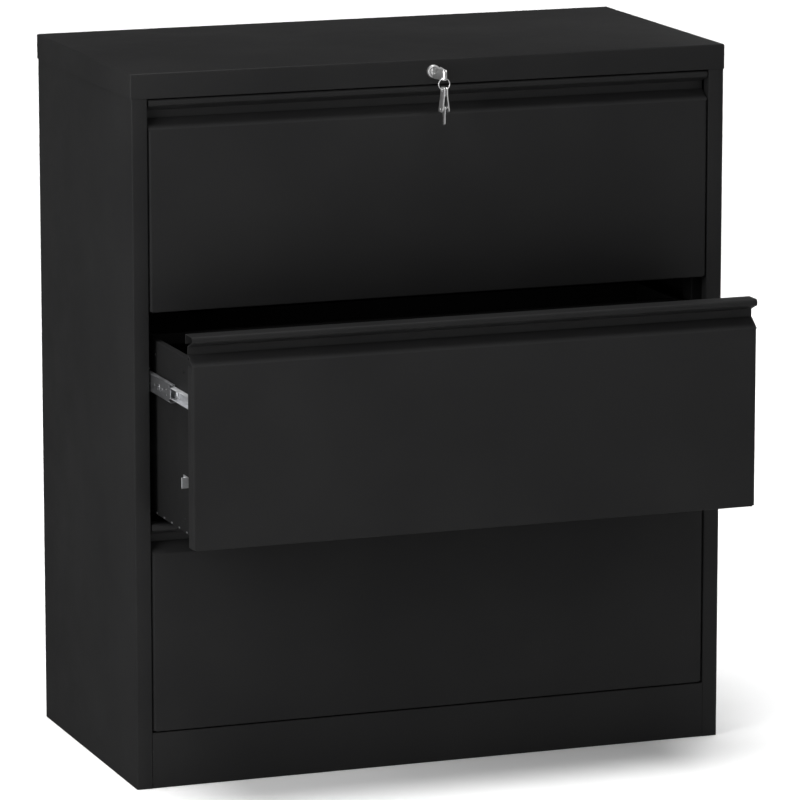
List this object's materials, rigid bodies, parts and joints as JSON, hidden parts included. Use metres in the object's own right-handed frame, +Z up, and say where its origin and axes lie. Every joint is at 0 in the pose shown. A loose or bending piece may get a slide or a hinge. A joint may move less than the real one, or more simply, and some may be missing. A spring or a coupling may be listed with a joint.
{
  "type": "lateral filing cabinet",
  "caption": "Lateral metal filing cabinet in black powder coat, full-width pulls, telescopic slides, a cam lock with folding keys, one drawer partly open.",
  "frame": {"origin": "on the floor, under the middle of the object's bounding box with the middle drawer open as stored", "axes": "+X to the right of a person facing the drawers, +Y to the cabinet's back, +Z up; the drawers open towards -Y"},
  "size_m": [0.9, 0.637, 1.028],
  "materials": {
    "black_powder_coat": "satin, fine texture",
    "black_drawer_paint": "matt",
    "zinc_plate": "bright zinc plate",
    "chrome_plate": "bright nickel-chrome plate"
  },
  "bodies": {
    "case": {"top_cap": "black_powder_coat", "back_panel": "black_powder_coat", "base_plinth": "black_powder_coat", "bottom_panel": "black_powder_coat", "left_side_panel": "black_powder_coat", "right_side_panel": "black_powder_coat", "top_cross_rail": "zinc_plate", "left_front_post": "black_powder_coat", "left_rear_post": "black_powder_coat", "right_front_post": "black_powder_coat", "right_rear_post": "black_powder_coat", "lock_bar_guide": "zinc_plate", "lock_rod_guide": "zinc_plate", "lock_nut": "zinc_plate", "lock_barrel": "chrome_plate", "bottom_left_slide_outer": "zinc_plate", "bottom_right_slide_outer": "zinc_plate", "middle_left_slide_outer": "zinc_plate", "middle_right_slide_outer": "zinc_plate", "top_left_slide_outer": "zinc_plate", "top_right_slide_outer": "zinc_plate"},
    "bottom_drawer": {"bottom_drawer_front": "black_powder_coat", "bottom_drawer_pull": "black_powder_coat", "bottom_drawer_tray": "black_drawer_paint", "bottom_drawer_back": "black_drawer_paint", "bottom_hanging_rail": "black_drawer_paint", "bottom_lock_catch": "zinc_plate", "bottom_left_slide_inner": "zinc_plate", "bottom_right_slide_inner": "zinc_plate"},
    "bottom_slide_travel": {"bottom_left_slide_middle": "zinc_plate", "bottom_right_slide_middle": "zinc_plate"},
    "middle_drawer": {"middle_drawer_front": "black_powder_coat", "middle_drawer_pull": "black_powder_coat", "middle_drawer_tray": "black_drawer_paint", "middle_drawer_back": "black_drawer_paint", "middle_hanging_rail": "black_drawer_paint", "middle_lock_catch": "zinc_plate", "middle_left_slide_inner": "zinc_plate", "middle_right_slide_inner": "zinc_plate"},
    "middle_slide_travel": {"middle_left_slide_middle": "zinc_plate", "middle_right_slide_middle": "zinc_plate"},
    "top_drawer": {"top_drawer_front": "black_powder_coat", "top_drawer_pull": "black_powder_coat", "top_drawer_tray": "black_drawer_paint", "top_drawer_back": "black_drawer_paint", "top_hanging_rail": "black_drawer_paint", "top_lock_catch": "zinc_plate", "top_left_slide_inner": "zinc_plate", "top_right_slide_inner": "zinc_plate"},
    "top_slide_travel": {"top_left_slide_middle": "zinc_plate", "top_right_slide_middle": "zinc_plate"},
    "plug": {"lock_plug": "chrome_plate", "lock_cam": "zinc_plate", "key_blade": "chrome_plate"},
    "key_grip": {"key_bow": "chrome_plate"},
    "ring": {"key_ring": "chrome_plate"},
    "spare_grip": {"spare_key_bow": "chrome_plate"},
    "spare_blade": {"spare_key_blade": "chrome_plate"},
    "rod": {"lock_rod": "zinc_plate"},
    "bar": {"lock_bar": "zinc_plate"}
  },
  "joints": [
    {"name": "bottom_drawer_slide", "type": "slide", "parent": "case", "child": "bottom_drawer", "axis": [0, -1, 0], "range_m": [0, 0.4]},
    {"name": "bottom_slide_travel_slide", "type": "slide", "parent": "case", "child": "bottom_slide_travel", "axis": [0, -1, 0], "range_m": [0, 0.232]},
    {"name": "middle_drawer_slide", "type": "slide", "parent": "case", "child": "middle_drawer", "axis": [0, -1, 0], "range_m": [-0.187, 0.213]},
    {"name": "middle_slide_travel_slide", "type": "slide", "parent": "case", "child": "middle_slide_travel", "axis": [0, -1, 0], "range_m": [-0.10846, 0.12354]},
    {"name": "top_drawer_slide", "type": "slide", "parent": "case", "child": "top_drawer", "axis": [0, -1, 0], "range_m": [0, 0.4]},
    {"name": "top_slide_travel_slide", "type": "slide", "parent": "case", "child": "top_slide_travel", "axis": [0, -1, 0], "range_m": [0, 0.232]},
    {"name": "lock_turn", "type": "hinge", "parent": "case", "child": "plug", "pos_m": [0, -0.1315, 1.0105], "axis": [0, 1, 0], "range_deg": [0, 90]},
    {"name": "rod_slide", "type": "slide", "parent": "case", "child": "rod", "axis": [-1, 0, 0], "range_m": [0, 0.0171]},
    {"name": "bar_slide", "type": "slide", "parent": "case", "child": "bar", "axis": [0, 0, -1], "range_m": [0, 0.0121]},
    {"name": "key_fold", "type": "hinge", "parent": "plug", "child": "key_grip", "pos_m": [0, -0.151, 1.0105], "axis": [1, 0, 0], "range_deg": [0, 80]},
    {"name": "ring_hang", "type": "hinge", "parent": "key_grip", "child": "ring", "pos_m": [0, -0.1765, 1.006], "axis": [1, 0, 0], "range_deg": [-80, 0]},
    {"name": "spare_swing", "type": "hinge", "parent": "ring", "child": "spare_grip", "pos_m": [0, -0.1765, 0.9894], "axis": [1, 0, 0], "range_deg": [-60, 10]},
    {"name": "spare_fold", "type": "hinge", "parent": "spare_grip", "child": "spare_blade", "pos_m": [0, -0.1765, 0.9635], "axis": [-1, 0, 0], "range_deg": [0, 120]}
  ],
  "couplings": [
    {"joint": "bottom_slide_travel_slide", "follows": "bottom_drawer_slide", "ratio": 0.58},
    {"joint": "middle_slide_travel_slide", "follows": "middle_drawer_slide", "ratio": 0.58},
    {"joint": "top_slide_travel_slide", "follows": "top_drawer_slide", "ratio": 0.58},
    {"joint": "rod_slide", "follows": "lock_turn", "m_per_rad": 0.010804},
    {"joint": "bar_slide", "follows": "lock_turn", "m_per_rad": 0.007639},
    {"joint": "ring_hang", "follows": "key_fold", "ratio": -1}
  ]
}
